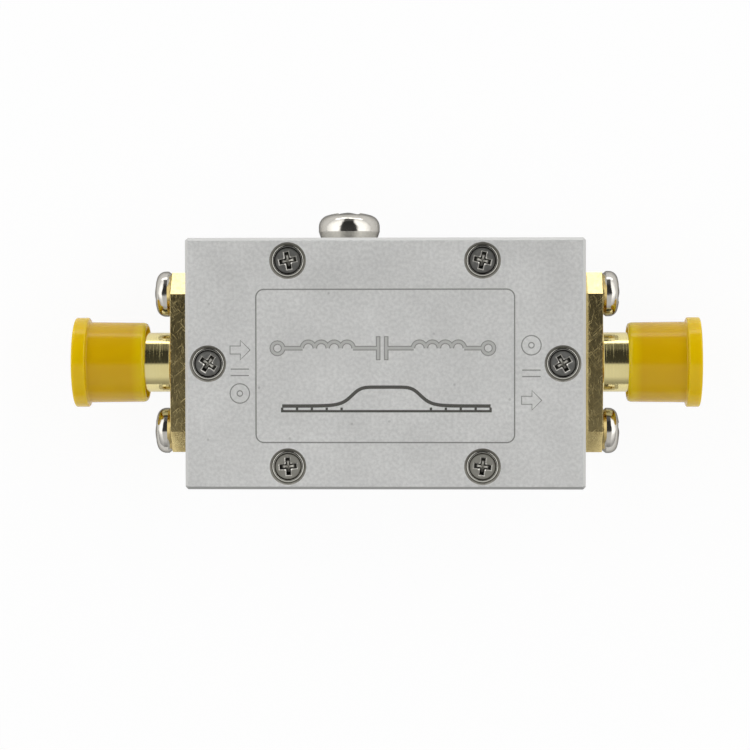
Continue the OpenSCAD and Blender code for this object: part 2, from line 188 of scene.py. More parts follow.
# Adds a Geometry Nodes modifier whose inputs are given by name
def withTree(tree, **values):
    def step(carrier):
        modifier = carrier.modifiers.new(tree.name, "NODES")
        modifier.node_group = tree
        for item in tree.interface.items_tree:
            if item.item_type == "SOCKET" and item.in_out == "INPUT" and item.name in values:
                modifier[item.identifier] = values[item.name]
    return step


def joined(meshes):
    shape = bmesh.new()
    for mesh in meshes:
        shape.from_mesh(mesh)
    result = bpy.data.meshes.new("joined")
    shape.to_mesh(result)
    shape.free()
    return result


# Puts a mesh in its place in metres, smooth up to the given edge angle
def placed(mesh, place=Matrix.Identity(4), edgeAngle=32):
    mesh = mesh.copy()
    mesh.transform(Matrix.Scale(mm, 4) @ place)
    mesh.shade_smooth()
    mesh.set_sharp_from_angle(angle=math.radians(edgeAngle))
    return mesh


def addPiece(name, mesh, material, body, slotName, *replaced):
    piece = addObject(name, mesh)
    mesh.materials.clear()
    mesh.materials.append(material)
    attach(piece, body)
    if replaced:
        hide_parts(*replaced)
    return piece


# From a piece that stands on Z = 0 to a jack's frame: side is -1 for the input, 1 for the output
def jackPlace(side):
    return Matrix.Translation((side * caseEnd, 0, axisHeight)) @ Matrix.Rotation(side * math.pi / 2, 4, "Y")


def newTree(name, **sockets):
    tree = bpy.data.node_groups.new(name, "GeometryNodeTree")
    for way in ("INPUT", "OUTPUT"):
        tree.interface.new_socket("Geometry", in_out=way, socket_type="NodeSocketGeometry")
    for label, kind in sockets.items():
        tree.interface.new_socket(label, in_out="INPUT", socket_type="NodeSocket" + kind)
    add = partial(addNode, tree)
    return tree, add, add("NodeGroupInput").outputs


def endTree(tree, geometry, material):
    add = partial(addNode, tree)
    whole = add("GeometryNodeRealizeInstances", {"Geometry": geometry})
    dressed = add("GeometryNodeSetMaterial", {"Geometry": whole, "Material": material})
    add("NodeGroupOutput", {0: dressed})
    return tree


# Cuts a screw thread into a turned blank that stands on Z. The groove is full from "cut" to "fade".
def makeThreadTree():
    tree, add, given = newTree("cutThread", pitch="Float", depth="Float", crest="Float", root="Float",
                               start="Float", cut="Float", fade="Float", end="Float", blank="Float",
                               material="Material")
    at = add("ShaderNodeSeparateXYZ", {0: add("GeometryNodeInputPosition")}).outputs
    outward = add("ShaderNodeCombineXYZ", {0: at["X"], 1: at["Y"]})
    radius = add("ShaderNodeVectorMath", {0: outward}, operation="LENGTH")
    around = add("ShaderNodeMath", {0: at["Y"], 1: at["X"]}, operation="ARCTAN2")
    rows = add("ShaderNodeMath", {0: at["Z"], 1: given["pitch"]}, operation="DIVIDE")
    helix = add("ShaderNodeMath", {0: around, 1: -0.5 / math.pi, 2: rows}, operation="MULTIPLY_ADD")
    flank = add("ShaderNodeMath", {0: helix, 1: 0.5}, operation="PINGPONG")
    groove = add("ShaderNodeMapRange", {0: flank, 1: given["crest"], 2: given["root"], 3: 0.0, 4: -1.0})
    rise = add("ShaderNodeMapRange", {0: at["Z"], 1: given["start"], 2: given["cut"], 3: 0.0, 4: given["depth"]},
               interpolation_type="SMOOTHSTEP")
    fall = add("ShaderNodeMapRange", {0: at["Z"], 1: given["fade"], 2: given["end"], 3: 1.0, 4: 0.0},
               interpolation_type="SMOOTHSTEP")
    depth = add("ShaderNodeMath", {0: rise, 1: fall}, operation="MULTIPLY")
    depth = add("ShaderNodeMath", {0: depth, 1: groove}, operation="MULTIPLY")
    unit = add("ShaderNodeVectorMath", {0: outward}, operation="NORMALIZE")
    inward = add("ShaderNodeVectorMath", {0: unit, "Scale": depth}, operation="SCALE")
    outside = add("FunctionNodeCompare", {0: radius, 1: given["blank"]}, operation="GREATER_THAN")
    threaded = add("GeometryNodeSetPosition", {"Geometry": given["Geometry"], "Selection": outside,
                   "Offset": inward})
    return endTree(tree, threaded, given["material"])


# Stands one screw on each point, turned by the point's own angles
def makeScrewTree():
    tree, add, given = newTree("setScrews", screw="Object", size="Float", material="Material")
    screw = add("GeometryNodeObjectInfo", {"Object": given["screw"]})
    angles = add("GeometryNodeInputNamedAttribute", {"Name": "angles"}, data_type="FLOAT_VECTOR")
    points = add("GeometryNodeMeshToPoints", {"Mesh": given["Geometry"]})
    stood = add("GeometryNodeInstanceOnPoints", {"Points": points, "Instance": screw.outputs["Geometry"],
                "Rotation": angles, "Scale": given["size"]})
    return endTree(tree, stood, given["material"])


# Draws every edge of a flat mesh as a low ribbon
def makeLineTree():
    tree, add, given = newTree("drawLines", breadth="Float", height="Float", material="Material")
    paths = add("GeometryNodeMeshToCurve", {"Mesh": given["Geometry"]})
    upright = add("GeometryNodeSetCurveNormal", {"Curve": paths}, mode="Z_UP")
    section = add("GeometryNodeCurvePrimitiveQuadrilateral",
                  {"Width": given["breadth"], "Height": given["height"]})
    ribbon = add("GeometryNodeCurveToMesh", {"Curve": upright, "Profile Curve": section, "Fill Caps": True})
    return endTree(tree, ribbon, given["material"])


threadTree, screwTree, lineTree = makeThreadTree(), makeScrewTree(), makeLineTree()
print("node trees built")

# Fitted to the photograph's outlines. Lengths are in millimetres, turns in degrees and clip distances in metres.
camera = dict(distance=240.0, lens=132.05, sensor=36, tilt=(1.54, -1.82, 0.07), shift=(0.877, 0.988),
              clip=(0.01, 20))


def addCamera():
    tiltX, tiltY, roll = (math.radians(a) for a in camera["tilt"])
    look = Matrix.Rotation(roll, 3, "Z") @ Matrix.Rotation(tiltX, 3, "X") @ Matrix.Rotation(tiltY, 3, "Y")
    look.transpose()
    shiftX, shiftY = camera["shift"]
    place = look @ Vector((-shiftX, -shiftY, camera["distance"])) + Vector((0, 0, lidTop))
    data = bpy.data.cameras.new("camera")
    data.lens, data.sensor_width, data.sensor_fit = camera["lens"], camera["sensor"], "HORIZONTAL"
    data.clip_start, data.clip_end = camera["clip"]
    stand = addObject("camera", data)
    stand.matrix_world = Matrix.Translation(place * mm) @ look.to_4x4()
    bpy.context.scene.camera = stand


addCamera()

lidScrewPlaces = ((8.5, 9.0), (15.5, 0.0))   # and their mirror images


# Distance from the axis of the nearest lid screw, in metres, and the point folded into one quarter of the lid
def fromLidScrew(add, at):
    folded = add("ShaderNodeVectorMath", {0: at}, operation="ABSOLUTE")
    flat = add("ShaderNodeVectorMath", {0: folded, 1: (1, 1, 0)}, operation="MULTIPLY")
    nearest = 1.0
    for x, y in lidScrewPlaces:
        away = add("ShaderNodeVectorMath", {0: flat, 1: (x * mm, y * mm, 0)}, operation="DISTANCE")
        nearest = add("ShaderNodeMath", {0: away, 1: nearest}, operation="MINIMUM")
    return nearest, flat


# In millimetres: radius of the seats, height of the bevel, height of the joint line, how far each of them fades,
# and how far in from the long side without the earth screw the bevel's painted shade goes over from lighter to
# darker
lidCuts = dict(seat=1.6, seatFade=0.004, bevel=0.25, bevelFade=0.01, joint=0.05, jointFade=0.02,
               shadedSide=(0.35, 0.25))


# On the lid the screws' seats are smoother and carry painted shade, the dark of the gap round each head. The
# bevelled edge carries painted shade, darkest by the long side without the earth screw. The joint with the case
# shows as a fine dark line along the lid's foot.
def addLidCuts(add, at, colour, dull):
    c = lidCuts
    nearest, flat = fromLidScrew(add, at)
    seat = add("ShaderNodeMapRange", {0: nearest, **between(c["seat"], c["seat"] + c["seatFade"]), 3: 1.0,
               4: 0.0})
    # Painted shade: the seat ring is darkened as the shaded gap round each screw head
    colour = add("ShaderNodeMix", {0: seat, 6: colour, 7: linear("#84827B")}, data_type="RGBA")
    dull = add("ShaderNodeMix", {0: seat, 2: dull, 3: 0.3})
    relief = add("ShaderNodeMapRange", {0: seat, 3: 0.35, 4: 0.05})
    place = add("ShaderNodeSeparateXYZ", {0: at}).outputs
    inward = add("ShaderNodeVectorMath", {0: flat, 1: (caseEnd * mm, -bottomSide * mm, 0)}, operation="SUBTRACT")
    inward = add("ShaderNodeSeparateXYZ", {0: inward}).outputs
    near = add("ShaderNodeMath", {0: inward["X"], 1: inward["Y"]}, operation="MAXIMUM")
    high = add("ShaderNodeMath", {0: place["Z"], 1: lidTop * mm}, operation="SUBTRACT")
    near = add("ShaderNodeMath", {0: near, 1: high}, operation="MINIMUM")
    cut = add("ShaderNodeMapRange", {0: near, **between(-c["bevel"], c["bevelFade"] - c["bevel"])})
    # Painted shade on the bevel: mid grey, darker towards the long side without the earth screw
    shadedSide = add("ShaderNodeMapRange", {0: place["Y"], **between(*(bottomSide + k for k in c["shadedSide"]))})
    bevel = add("ShaderNodeMix", {0: shadedSide, 6: linear("#CCCCCA"), 7: linear("#ABABA9")}, data_type="RGBA")
    colour = add("ShaderNodeMix", {0: cut, 6: colour, 7: bevel}, data_type="RGBA")
    line = lidFoot + c["joint"]
    joint = add("ShaderNodeMapRange", {0: place["Z"], **between(line, line + c["jointFade"]), 3: 0.75, 4: 0.0})
    colour = add("ShaderNodeMix", {0: joint, 6: colour, 7: linear("#6E6D69")}, data_type="RGBA")
    return colour, dull, relief


# Bead-blasted aluminium: satin light grey with a fine even grain and a few darker pits
def makeBlastedAluminium(name, first, second, isLid):
    material, add, at = startMaterial(name, {"Metallic": 0.8, "Roughness": 0.5})
    cloud = add("ShaderNodeTexNoise", {"Vector": at, "Scale": spacing(3.5), "Detail": 3.0})
    grain = add("ShaderNodeTexNoise", {"Vector": at, "Scale": spacing(0.3), "Detail": 2.0})  # drawn coarse
    pits = add("ShaderNodeTexVoronoi", {"Vector": at, "Scale": spacing(2.6)})
    pitted = add("ShaderNodeMapRange", {0: pits.outputs["Distance"], 1: 0.03, 2: 0.06, 3: 0.25, 4: 0.0})
    base = add("ShaderNodeMix", {0: cloud, 6: linear(first), 7: linear(second)}, data_type="RGBA")
    grainShade = add("ShaderNodeMapRange", {0: grain, 1: 0.35, 2: 0.65, 3: 0.18, 4: 0.0})
    grained = add("ShaderNodeMix", {0: grainShade, 6: base, 7: linear("#8F8F8C")}, data_type="RGBA")
    colour = add("ShaderNodeMix", {0: pitted, 6: grained, 7: linear("#6E6D69")}, data_type="RGBA")
    dull = add("ShaderNodeMapRange", {0: cloud, 3: 0.46, 4: 0.56})
    relief = 0.35
    if isLid:
        colour, dull, relief = addLidCuts(add, at, colour, dull)
    return endMaterial(material, colour, dull, grain, relief, 0.02)


# Gold plate on turned brass: pale bright gold with the fine rings that the lathe left along X, which are drawn
# coarser than the tool's feed so that they show
def makeTurnedGold():
    material, add, at = startMaterial("turnedGold", {"Metallic": 1.0, "Roughness": 0.1})
    rings = add("ShaderNodeTexWave", {"Vector": at, "Scale": spacing(0.3) * math.pi / 10, "Distortion": 1.5,
                "Detail": 3.0, "Detail Scale": 2.0}, bands_direction="X")
    tarnish = add("ShaderNodeTexNoise", {"Vector": at, "Scale": spacing(1.8), "Detail": 4.0})
    colour = add("ShaderNodeMix", {0: tarnish, 6: linear("#F5E8AC"), 7: linear("#E9D998")}, data_type="RGBA")
    along = add("ShaderNodeSeparateXYZ", {0: at}).outputs["X"]
    along = add("ShaderNodeMath", {0: along, 1: spacing(0.2)}, operation="MULTIPLY")
    chatter = add("ShaderNodeTexNoise", {"W": along, "Detail": 1.0}, noise_dimensions="1D")
    deep = add("ShaderNodeMapRange", {0: chatter, 1: 0.6, 2: 0.7})
    marks = add("ShaderNodeMath", {0: rings.outputs["Fac"], 1: deep}, operation="MAXIMUM")
    dull = add("ShaderNodeMapRange", {0: rings.outputs["Fac"], 3: 0.05, 4: 0.16})
    dull = add("ShaderNodeMath", {0: deep, 1: 0.04, 2: dull}, operation="MULTIPLY_ADD")
    return endMaterial(material, colour, dull, marks, 0.3, 0.006)


# How far each set of scratches is turned in radians, and how far apart they are in millimetres
scratches = ((0.08, 0.07), (-0.2, 0.08), (0.7, 0.09), (-0.9, 0.1))


# Gold plate on milled brass: a duller gold with long fine scratches across each other, which scatter the light,
# and broad streaks that are duller than the rest. They are drawn coarser than real ones so that they show.
def makeMilledGold():
    material, add, at = startMaterial("milledGold", {"Metallic": 1.0, "Roughness": 0.12})
    marks = 0.0
    for turn, apart in scratches:
        along = add("ShaderNodeMapping", {"Vector": at, "Scale": (1.0, 12.0, 1.0), "Rotation": (0, 0, turn)},
                    vector_type="TEXTURE")
        lines = add("ShaderNodeTexNoise", {"Vector": along, "Scale": spacing(apart)})
        marks = add("ShaderNodeMath", {0: lines, 1: marks}, operation="MAXIMUM")
    scratch = add("ShaderNodeMapRange", {0: marks, 1: 0.58, 2: 0.72})
    along = add("ShaderNodeMapping", {"Vector": at, "Scale": (1.0, 4.0, 1.0), "Rotation": (0, 0, 0.15)},
                vector_type="TEXTURE")
    broad = add("ShaderNodeTexNoise", {"Vector": along, "Scale": spacing(0.5), "Detail": 2.0})
    streak = add("ShaderNodeMapRange", {0: broad, 1: 0.45, 2: 0.65, 3: 0.0, 4: 0.25})
    scratch = add("ShaderNodeMath", {0: scratch, 1: streak}, operation="MAXIMUM")
    tarnish = add("ShaderNodeTexNoise", {"Vector": at, "Scale": spacing(0.5), "Detail": 4.0})
    colour = add("ShaderNodeMix", {0: tarnish, 6: linear("#F2DFA2"), 7: linear("#CDB578")}, data_type="RGBA")
    dull = add("ShaderNodeMapRange", {0: scratch, 3: 0.06, 4: 0.3})
    return endMaterial(material, colour, dull, marks, 0.25, 0.01)


# Bright nickel plate on steel: a warm-grey mirror with faint waves, darker where it turns away from the eye
def makeBrightNickel():
    material, add, at = startMaterial("brightNickel", {
        "Metallic": 1.0, "Roughness": 0.08, "Specular Tint": (0.3, 0.3, 0.3, 1.0)})
    waves = add("ShaderNodeTexNoise", {"Vector": at, "Scale": spacing(0.9), "Detail": 2.0})
    colour = add("ShaderNodeMix", {0: waves, 6: linear("#D6D3CC"), 7: linear("#C6C2BA")}, data_type="RGBA")
    dull = add("ShaderNodeMapRange", {0: waves, 3: 0.08, 4: 0.16})
    return endMaterial(material, colour, dull, waves, 0.5, 0.06)


# In millimetres: pale along Y, the rim and the groove's two sides by radius, and the recess by depth below the face
screwZones = dict(pale=(-6, -7), rim=(1.18, 1.24), grooveInside=(0.96, 1.1), grooveOutside=(1.17, 1.23),
                  edge=(0.005, 0.02), wall=(0.08, 0.11), floor=(0.39, 0.43))


# Dull nickel plate on small screws: satin mid grey, paler on the two screws by the long side without the earth
# screw, with a smooth rim that carries a painted highlight and painted shade in the groove inside it. Below the
# head's face, the recess has painted highlights on its top edges and its sloping floor, and painted shade on its
# walls.
def makeDullNickel(face):
    zone = {key: between(*ends) for key, ends in screwZones.items()}
    zone.update({key: between(*(face - depth for depth in screwZones[key])) for key in ("edge", "wall", "floor")})
    material, add, at = startMaterial("dullNickel", {"Metallic": 1.0, "Roughness": 0.3})
    grain = add("ShaderNodeTexNoise", {"Vector": at, "Scale": spacing(0.2), "Detail": 3.0})
    place = add("ShaderNodeSeparateXYZ", {0: at}).outputs
    pale = add("ShaderNodeMapRange", {0: place["Y"], **zone["pale"]})
    worn = add("ShaderNodeMix", {0: grain, 6: linear("#82827F"), 7: linear("#A9A8A3")}, data_type="RGBA")
    plate = add("ShaderNodeMix", {0: pale, 6: worn, 7: linear("#B9B7AD")}, data_type="RGBA")
    # Painted highlight along the recess's bevelled top edges
    edge = add("ShaderNodeMapRange", {0: place["Z"], **zone["edge"]})
    plate = add("ShaderNodeMix", {0: edge, 6: plate, 7: linear("#DEDCD5")}, data_type="RGBA")
    nearest = fromLidScrew(add, at)[0]
    # Painted highlight: the rim is painted paler, and made smoother
    rim = add("ShaderNodeMapRange", {0: nearest, **zone["rim"]})
    plate = add("ShaderNodeMix", {0: rim, 6: plate, 7: linear("#C9C7BF")}, data_type="RGBA")
    # Painted shade: the groove inside the rim is darkened, less so on the two screws by the long side without the
    # earth screw
    inside = add("ShaderNodeMapRange", {0: nearest, **zone["grooveInside"]})
    outside = add("ShaderNodeMapRange", {0: nearest, **zone["grooveOutside"], 3: 1.0, 4: 0.0})
    groove = add("ShaderNodeMath", {0: inside, 1: outside}, operation="MULTIPLY")
    deep = add("ShaderNodeMix", {0: pale, 6: linear("#72716D"), 7: linear("#A19F96")}, data_type="RGBA")
    plate = add("ShaderNodeMix", {0: groove, 6: plate, 7: deep}, data_type="RGBA")
    # Painted shade: the recess's walls are painted near black
    wall = add("ShaderNodeMapRange", {0: place["Z"], **zone["wall"]})
    # Painted highlight: the recess's sloping floor is painted pale
    floor = add("ShaderNodeMapRange", {0: place["Z"], **zone["floor"]})
    dark = add("ShaderNodeMix", {0: floor, 6: linear("#2E2D29"), 7: linear("#B4B2AA")}, data_type="RGBA")
    colour = add("ShaderNodeMix", {0: wall, 6: plate, 7: dark}, data_type="RGBA")
    dull = add("ShaderNodeMapRange", {0: grain, 3: 0.26, 4: 0.4})
    dull = add("ShaderNodeMix", {0: rim, 2: dull, 3: 0.12})
    return endMaterial(material, colour, dull, grain, 0.25, 0.01)


capZones = dict(lip=(22.6, 22.0), brim=(26.3, 26.8))   # along X from the middle of the filter, in millimetres


# Moulded low-density polyethylene: waxy warm yellow, which light enters. The free lip and the thick brim are
# painted paler, a painted glow of the light that passes through them, and the rest, where the wall lies over the
# jack, keeps the deeper yellow.
def makeCapPlastic():
    material, add, at = startMaterial("capPolyethylene", {
        "Roughness": 0.17, "IOR": 1.51, "Specular IOR Level": 0.3, "Subsurface Weight": 0.5,
        "Subsurface Radius": (1.0, 0.85, 0.12), "Subsurface Scale": 1.2 * mm})
    flow = add("ShaderNodeTexNoise", {"Vector": at, "Scale": spacing(4.0), "Detail": 2.0})
    skin = add("ShaderNodeTexNoise", {"Vector": at, "Scale": spacing(0.5), "Detail": 2.0})
    body = add("ShaderNodeMix", {0: flow, 6: linear("#CC9F00"), 7: linear("#D6AC02")}, data_type="RGBA")
    along = add("ShaderNodeSeparateXYZ", {0: at}).outputs["X"]
    along = add("ShaderNodeMath", {0: along}, operation="ABSOLUTE")
    lip = add("ShaderNodeMapRange", {0: along, **between(*capZones["lip"])})
    brim = add("ShaderNodeMapRange", {0: along, **between(*capZones["brim"])})
    # Painted glow: the lip and brim are mixed towards a paler yellow
    paintedGlow = add("ShaderNodeMath", {0: lip, 1: brim}, operation="ADD")
    colour = add("ShaderNodeMix", {0: paintedGlow, 6: body, 7: linear("#DBB800")}, data_type="RGBA")
    entered = add("ShaderNodeMapRange", {0: lip, 3: 0.5, 4: 1.0})
    dull = add("ShaderNodeMapRange", {0: skin, 3: 0.13, 4: 0.21})
    return endMaterial(material, colour, dull, skin, 0.12, 0.02, {"Subsurface Weight": entered})


# Every other finish is one colour that drifts to another over a set distance, as its roughness does round a level
def makeDrifting(name, first, second, apart, level, relief=0.01, **values):
    material, add, at = startMaterial(name, {"Roughness": level, **values})
    drift = add("ShaderNodeTexNoise", {"Vector": at, "Scale": spacing(apart), "Detail": 4.0})
    colour = add("ShaderNodeMix", {0: drift, 6: linear(first), 7: linear(second)}, data_type="RGBA")
    dull = add("ShaderNodeMapRange", {0: drift, 3: level * 0.85, 4: level * 1.15})
    return endMaterial(material, colour, dull, drift, 0.3, relief)


screwFace = 0.12   # depth of the lid screws' faces below the lid, in millimetres

finish = dict(
    aluminium=makeBlastedAluminium("blastedAluminium", "#D2D2D0", "#E1E1DF", isLid=False),
    lidAluminium=makeBlastedAluminium("blastedLid", "#E3E3E1", "#F2F2F0", isLid=True),
    turnedGold=makeTurnedGold(),
    milledGold=makeMilledGold(),
    brightNickel=makeBrightNickel(),
    dullNickel=makeDullNickel(lidTop - screwFace),
    capPlastic=makeCapPlastic(),
    # Laser etching: aluminium burnt to a matt dark grey, greyed where the beam ran once, or only frosted
    darkEtching=makeDrifting("darkEtching", "#4A4945", "#5C5B56", 0.25, 0.7, Metallic=0.3),
    greyEtching=makeDrifting("greyEtching", "#8D8D89", "#A2A29E", 0.25, 0.65, Metallic=0.5),
    paleEtching=makeDrifting("paleEtching", "#BEBEBB", "#CBCBC8", 0.25, 0.55, Metallic=0.7),
    # Turned PTFE: dense milky white, waxy
    ptfe=makeDrifting("turnedPtfe", "#F1F0EA", "#E6E5DE", 1.0, 0.42, IOR=1.38,
                      **{"Subsurface Weight": 0.3, "Subsurface Scale": 0.5 * mm}),
    # Hard gold plate on beryllium copper: deeper and brighter than the shell
    contactGold=makeDrifting("contactGold", "#F2D27E", "#E3BE62", 0.4, 0.16, relief=0.005, Metallic=1.0),
    # Glass-fibre laminate: green-yellow board seen at its cut edge
    laminate=makeDrifting("glassLaminate", "#6E7A3C", "#57652F", 0.3, 0.6, IOR=1.55),
    # Immersion gold over copper: flat soft gold of a circuit board's pads
    boardCopper=makeDrifting("immersionGold", "#E8C777", "#D9B463", 0.6, 0.3, Metallic=1.0),
    # Fired alumina with dark pigment: matt brown-black
    ceramic=makeDrifting("darkAlumina", "#3A3330", "#2C2725", 0.2, 0.55, IOR=1.7),
    # Gold-flashed iron-nickel lid: pale, slightly brushed
    packageCover=makeDrifting("flashedCover", "#D8C48E", "#C6B27E", 0.5, 0.28, relief=0.005, Metallic=1.0),
    # Ferrite ceramic of a chip coil: near-black with a blue-grey cast
    coilCeramic=makeDrifting("coilFerrite", "#2E3438", "#3A4145", 0.2, 0.5, IOR=1.6),
    # Barium titanate of a chip capacitor: tan and slightly glossy
    capacitorCeramic=makeDrifting("capacitorTitanate", "#A98A64", "#96785A", 0.3, 0.4, IOR=1.7),
    # Matt tin on chip ends
    tin=makeDrifting("mattTin", "#C9CACB", "#B4B5B7", 0.15, 0.38, Metallic=1.0),
    # Tin-silver solder: bright and rippled where it froze
    solder=makeDrifting("frozenSolder", "#D2D3D6", "#BDBEC2", 0.25, 0.2, relief=0.03, Metallic=1.0),
)
print("materials made:", len(finish))

nodeFinish = dict(
    housing="aluminium", lid="lidAluminium",
    input_insulator="ptfe", output_insulator="ptfe",
    input_contact="contactGold", output_contact="contactGold",
    circuit_board="laminate", earth_copper="boardCopper", input_track="boardCopper", output_track="boardCopper",
    filter_package="ceramic", filter_cover="packageCover",
    matching_coils="coilCeramic", matching_capacitors="capacitorCeramic", chip_ends="tin",
    input_solder_joint="solder", output_solder_joint="solder", board_screws="brightNickel")
for node, name in nodeFinish.items():
    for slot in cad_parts[node].material_slots:
        slot.material = finish[name]
print("CAD nodes dressed:", len(nodeFinish))

# The floor's reach and breadth are shares of those at the face. Its reach is at least leastReach times half the
# breadth of a wing.
crossRecess = dict(innerCorner=0.35, floorReach=0.84, leastReach=1.6, floorBreadth=0.8, drop=0.12, clearance=0.3)


# Cutter for a cross recess below Z = 0: four wings with a bevelled edge, which narrow a little downwards round a
# deeper middle
def recessCutter(screw):
    c, bevel, half, breadth = crossRecess, screw["bevel"], screw["span"] / 2, screw["wing"] / 2
    over, floorReach = c["clearance"], max(half * c["floorReach"], breadth * c["leastReach"])
    shape = bmesh.new()

    def ring(reach, side, height):
        inner = side + breadth * c["innerCorner"]
        quarter = [(reach, -side), (reach, side), (inner, side), (side, inner)]
        return [shape.verts.new((x * cos - y * sin, x * sin + y * cos, height))
                for cos, sin in ((1, 0), (0, 1), (-1, 0), (0, -1)) for x, y in quarter]

    rings = [ring(half + bevel + over, breadth + bevel + over, over), ring(half, breadth, -bevel),
             ring(floorReach, breadth * c["floorBreadth"], -screw["depth"])]
    tip = shape.verts.new((0, 0, -screw["depth"] - c["drop"] * screw["span"]))
    count = len(rings[0])
    for k in range(count):
        n = (k + 1) % count
        for high, low in zip(rings, rings[1:]):
            shape.faces.new((high[k], high[n], low[n], low[k]))
        shape.faces.new((rings[-1][k], rings[-1][n], tip))
    shape.faces.new(rings[0])
    return meshOf(shape, "cutter")


# Turns a screw's outline and cuts its recess, whose face is at the given height
def recessed(outline, screw, height):
    cutter = recessCutter(screw)
    cutter.transform(Matrix.Translation((0, 0, height)))
    tool = addObject("tool", cutter)

    def cut(carrier):
        modifier = carrier.modifiers.new("cut", "BOOLEAN")
        modifier.operation, modifier.solver, modifier.object = "DIFFERENCE", "EXACT", tool

    mesh = applied(turned(outline, screwSegments), cut)
    bpy.data.objects.remove(tool)
    return mesh


screwSegments, tipPart = 72, 6   # a shank's pointed tip is one part in six of its breadth


def shankProfile(screw, top):
    radius, length, tip = screw["thread"] / 2, screw["length"], screw["thread"] / tipPart
    return [(radius, top), (radius, -length + tip), (radius - tip, -length), (0, -length)]


# Shares of a domed head's breadth: radii of its crown and shoulder, and the recess's depth below the crown.
# The straight side goes up to a share of the shoulder's height.
dome = dict(crown=1.25, shoulder=0.2, recess=0.05, side=0.6, crownSteps=12, shoulderSteps=10)


# Outline of a domed head from its crown to its foot, as in the solid, in finer steps
def domeProfile(head, height, foot):
    radius, crown, shoulder = head / 2, head * dome["crown"], head * dome["shoulder"]
    meet = math.asin((radius - shoulder) / (crown - shoulder))
    centre = height - crown + (crown - shoulder) * math.cos(meet)
    crownSteps, shoulderSteps = dome["crownSteps"], dome["shoulderSteps"]
    arc = [(crown * math.sin(a), height - crown + crown * math.cos(a))
           for a in (meet * k / crownSteps for k in range(crownSteps + 1))]
    arc += [(radius - shoulder + shoulder * math.sin(a), centre + shoulder * math.cos(a))
            for a in (meet + (math.pi / 2 - meet) * k / shoulderSteps for k in range(1, shoulderSteps + 1))]
    return arc + [(radius, centre * dome["side"]), (radius - foot, 0)]


def domedScrew(s):
    outline = domeProfile(s["head"], s["height"], s["foot"]) + shankProfile(s, 0)
    return recessed(outline, s, s["height"] - dome["recess"] * s["head"])


# Flat head with a raised rim outside a fine groove
def countersunkScrew(s):
    side = -s["rim"] - s["edge"]
    inner, outer = s["groove"] - s["grooveInside"], s["groove"] + s["grooveOutside"]
    outline = softCorners([(0, -s["faceDrop"], 0), (inner, -s["faceDrop"], 0), (s["groove"], -s["grooveDepth"], 0),
                           (outer, 0, 0.02), (s["head"] / 2, 0, s["edge"]), (s["head"] / 2, side, 0),
                           (s["thread"] / 2, side - (s["head"] - s["thread"]) / 2, 0)], 7)
    outline += shankProfile(s, outline[-1][1])[1:]
    return recessed(outline, s, -s["faceDrop"])


def setScrews(name, screw, places, material, slotName, node):
    points = bpy.data.meshes.new(name)
    points.from_pydata([tuple(place.translation) for place in places], [], [])
    angles = points.attributes.new("angles", "FLOAT_VECTOR", "POINT")
    for item, place in zip(angles.data, places):
        item.vector = place.to_euler()
    pattern = bpy.data.objects.new("pattern", screw)
    mesh = applied(points, withTree(screwTree, screw=pattern, size=1.0, material=material))
    bpy.data.objects.remove(pattern)
    return addPiece(name, placed(mesh, edgeAngle=16), material, "filter", slotName, node)


# Lengths are in millimetres and turns in degrees. The groove is a radius, with its breadth to each side.
lidScrew = dict(head=2.85, rim=0.02, edge=0.14, faceDrop=0.02, groove=1.16, grooveDepth=0.14, grooveInside=0.08,
                grooveOutside=0.05, thread=1.6, length=3.0, span=1.5, wing=0.4, depth=0.36, bevel=0.09, sink=0.1,
                turns=(4, 11, 83, 77, 57, 30))
flangeScrew = dict(head=4.05, height=1.6, foot=0.28, thread=2.0, length=4.0, span=2.3, wing=0.55, depth=0.85,
                   bevel=0.07, turns={"input": (38, 51), "output": (58, 33)})
earthScrew = dict(head=5.45, height=2.4, foot=0.22, thread=3.0, length=4.0, span=3.1, wing=0.72, depth=1.2,
                  bevel=0.09, x=-3.35, turn=41)
flange = dict(length=16.0, height=5.7, thickness=1.65, corner=1.9, edge=0.07, screwSpan=12.2, screwHole=1.12,
              holeSteps=64, edgeSteps=2, weld=0.001)
sides = {"input": -1, "output": 1}   # the end of the case that each jack is on


def turn(degrees):
    return Matrix.Rotation(math.radians(degrees), 4, "Z")


def addScrews():
    (x, y), (endX, _) = lidScrewPlaces
    spots = [(-x, -y), (-x, y), (x, -y), (x, y), (-endX, 0), (endX, 0)]
    places = [Matrix.Translation(spot + (lidTop - lidScrew["sink"],)) @ turn(degrees)
              for spot, degrees in zip(spots, lidScrew["turns"])]
    setScrews("lid_screw_set", countersunkScrew(lidScrew), places, finish["dullNickel"], "lid_screw_steel",
              "lid_screws")

    pattern = domedScrew(flangeScrew)
    for label, side in sides.items():
        places = [jackPlace(side) @ Matrix.Translation((0, k * flange["screwSpan"] / 2, flange["thickness"]))
                  @ turn(degrees) for k, degrees in zip((-1, 1), flangeScrew["turns"][label])]
        setScrews(label + "_flange_screw_set", pattern, places, finish["brightNickel"], "plated_steel",
                  label + "_flange_screws")

    place = (Matrix.Translation((earthScrew["x"], caseSide, axisHeight)) @ Matrix.Rotation(-math.pi / 2, 4, "X")
             @ turn(earthScrew["turn"]))
    setScrews("earth_screw_set", domedScrew(earthScrew), [place], finish["brightNickel"], "plated_steel",
              "earth_screw")


addScrews()
print("screws set")

